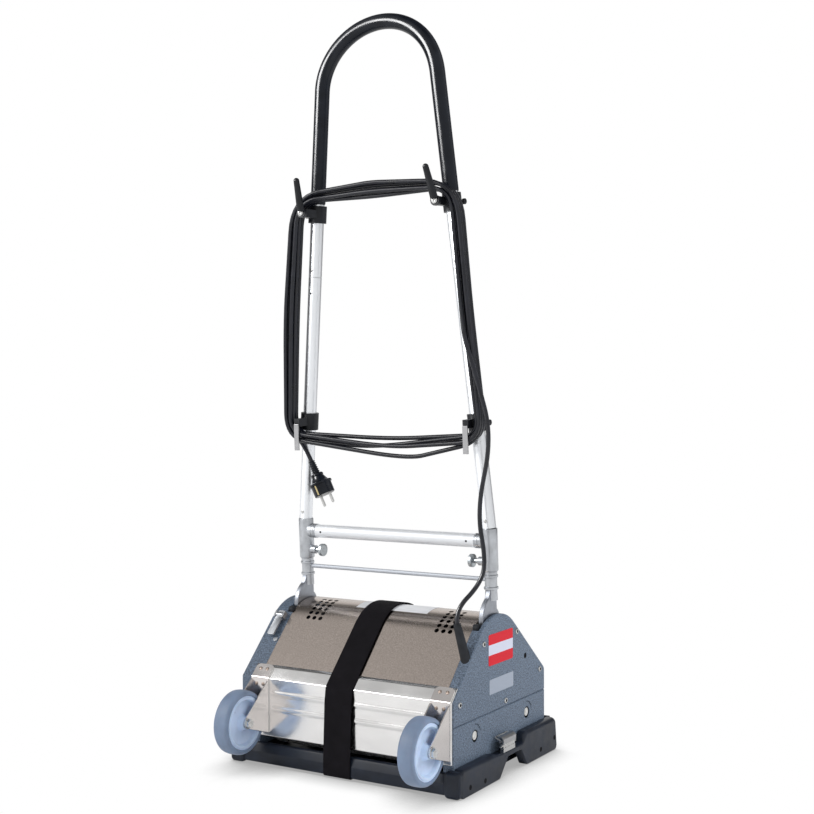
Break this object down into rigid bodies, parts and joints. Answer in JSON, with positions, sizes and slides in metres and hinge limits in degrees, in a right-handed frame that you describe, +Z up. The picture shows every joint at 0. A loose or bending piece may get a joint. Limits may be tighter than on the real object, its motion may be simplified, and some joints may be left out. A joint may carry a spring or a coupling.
{
  "type": "carpet brushing machine",
  "caption": "Upright carpet cleaning machine with counter-rotating cylindrical brushes, tilting tube handle with wound mains cord, transport wheels and a parking tray",
  "frame": {"origin": "on the floor under the middle of the outline seen from above, cord left out", "axes": "X along the brush axles, Y from the wheels to the back, Z up"},
  "size_m": [0.43, 0.433, 1.2014],
  "materials": {
    "black_plastic": "satin black moulded plastic",
    "hammer_grey": "grey hammered paint",
    "brushed_cover": "brushed stainless sheet",
    "bright_sheet": "bright stainless sheet",
    "zinc": "bright zinc",
    "anodised": "satin anodised aluminium",
    "cast_alloy": "tumbled cast aluminium",
    "black_rubber": "matt black rubber",
    "webbing": "black woven webbing",
    "wheel_grey": "blue-grey moulded plastic",
    "tyre_grey": "blue-grey soft tread",
    "label_film": "plain banded film",
    "plate_silver": "bare silver plate",
    "brush_fibre": "white nylon bristles",
    "motor_alloy": "cast aluminium motor shell"
  },
  "bodies": {
    "base": {"tray": "black_plastic", "latch_feet": "zinc", "left_case": "hammer_grey", "belt_cover": "hammer_grey", "right_case": "hammer_grey", "right_plate": "hammer_grey", "brush_door": "hammer_grey", "case_screws": "zinc", "band_label": "label_film", "data_plate": "plate_silver", "cover": "brushed_cover", "apron": "bright_sheet", "left_bracket": "zinc", "right_bracket": "zinc", "wheel_bolts": "zinc", "bracket_rivets": "zinc", "strap": "webbing", "handle_stops": "black_rubber", "handle_pivots": "zinc", "lever_mount": "zinc", "strain_relief": "black_rubber", "cord_run": "black_rubber", "motor": "motor_alloy", "motor_frame": "cast_alloy", "bearings": "zinc", "drive_belt": "black_rubber"},
    "handle": {"left_fork": "cast_alloy", "right_fork": "cast_alloy", "left_tube": "anodised", "right_tube": "anodised", "bow": "anodised", "grip": "black_rubber", "crossbar": "anodised", "tie_rod": "zinc", "tube_pins": "zinc", "hook_clamps": "black_plastic", "clamp_knobs": "black_plastic", "hook_screws": "zinc", "hook_strips": "bright_sheet", "cord_coil": "black_rubber", "cord_tail": "black_rubber", "plug": "black_plastic", "plug_pins": "zinc"},
    "left_hook": {"left_hook": "black_plastic"},
    "right_hook": {"right_hook": "black_plastic"},
    "left_plunger": {"left_plunger": "zinc"},
    "right_plunger": {"right_plunger": "zinc"},
    "lock_lever": {"lock_lever": "bright_sheet"},
    "left_latch_lever": {"left_latch_lever": "bright_sheet"},
    "right_latch_lever": {"right_latch_lever": "bright_sheet"},
    "left_latch_loop": {"left_latch_loop": "zinc"},
    "right_latch_loop": {"right_latch_loop": "zinc"},
    "front_brush": {"front_brush": "brush_fibre"},
    "rear_brush": {"rear_brush": "brush_fibre"},
    "motor_rotor": {"motor_rotor": "cast_alloy"},
    "idler": {"idler": "cast_alloy"},
    "left_wheel": {"left_wheel": "wheel_grey", "left_tyre": "tyre_grey"},
    "right_wheel": {"right_wheel": "wheel_grey", "right_tyre": "tyre_grey"}
  },
  "joints": [
    {"name": "handle_tilt", "type": "hinge", "parent": "base", "child": "handle", "pos_m": [0.009, 0.03447, 0.24086], "axis": [1, 0, 0], "range_deg": [0, 60], "deforming": ["cord_run"]},
    {"name": "left_wheel_spin", "type": "hinge", "parent": "base", "child": "left_wheel", "pos_m": [-0.1575, -0.16653, 0.0785], "axis": [1, 0, 0], "continuous": true},
    {"name": "left_hook_swivel", "type": "hinge", "parent": "handle", "child": "left_hook", "pos_m": [-0.1165, -0.04926, 0.88745], "axis": [0, -0.9981, -0.061], "range_deg": [0, 180]},
    {"name": "left_plunger_pull", "type": "slide", "parent": "handle", "child": "left_plunger", "axis": [1, 0, 0], "range_m": [0, 0.006], "stiffness_N_per_m": 600, "springref_m": -0.002},
    {"name": "left_latch_open", "type": "hinge", "parent": "base", "child": "left_latch_lever", "pos_m": [-0.2095, 0.03848, 0.048], "axis": [0, -1, 0], "range_deg": [0, 100]},
    {"name": "left_loop_swing", "type": "hinge", "parent": "left_latch_lever", "child": "left_latch_loop", "pos_m": [-0.2095, 0.03848, 0.056], "axis": [0, -1, 0], "range_deg": [0, 12]},
    {"name": "right_wheel_spin", "type": "hinge", "parent": "base", "child": "right_wheel", "pos_m": [0.1755, -0.16653, 0.0785], "axis": [1, 0, 0], "continuous": true},
    {"name": "right_hook_swivel", "type": "hinge", "parent": "handle", "child": "right_hook", "pos_m": [0.1345, -0.04926, 0.88745], "axis": [0, 0.9981, 0.061], "range_deg": [0, 180]},
    {"name": "right_plunger_pull", "type": "slide", "parent": "handle", "child": "right_plunger", "axis": [-1, 0, 0], "range_m": [0, 0.006], "stiffness_N_per_m": 600, "springref_m": -0.002},
    {"name": "right_latch_open", "type": "hinge", "parent": "base", "child": "right_latch_lever", "pos_m": [0.2095, 0.03848, 0.048], "axis": [0, 1, 0], "range_deg": [0, 100]},
    {"name": "right_loop_swing", "type": "hinge", "parent": "right_latch_lever", "child": "right_latch_loop", "pos_m": [0.2095, 0.03848, 0.056], "axis": [0, 1, 0], "range_deg": [0, 12]},
    {"name": "lever_press", "type": "hinge", "parent": "base", "child": "lock_lever", "pos_m": [-0.175, -0.0357, 0.227], "axis": [1, 0, 0], "range_deg": [0, 7], "stiffness_Nm_per_rad": 1.5, "springref_deg": -5.73},
    {"name": "front_brush_spin", "type": "hinge", "parent": "base", "child": "front_brush", "pos_m": [0, -0.04353, 0.076], "axis": [1, 0, 0], "continuous": true},
    {"name": "rear_brush_spin", "type": "hinge", "parent": "base", "child": "rear_brush", "pos_m": [0, 0.13248, 0.076], "axis": [1, 0, 0], "continuous": true},
    {"name": "rotor_spin", "type": "hinge", "parent": "base", "child": "motor_rotor", "pos_m": [-0.161, 0.04448, 0.17], "axis": [1, 0, 0], "continuous": true},
    {"name": "idler_spin", "type": "hinge", "parent": "base", "child": "idler", "pos_m": [-0.19, 0.15648, 0.124], "axis": [1, 0, 0], "continuous": true}
  ],
  "couplings": [
    {"joint": "rear_brush_spin", "follows": "front_brush_spin", "ratio": -1},
    {"joint": "rotor_spin", "follows": "front_brush_spin", "ratio": 1.4444},
    {"joint": "idler_spin", "follows": "front_brush_spin", "ratio": 1.7333}
  ]
}
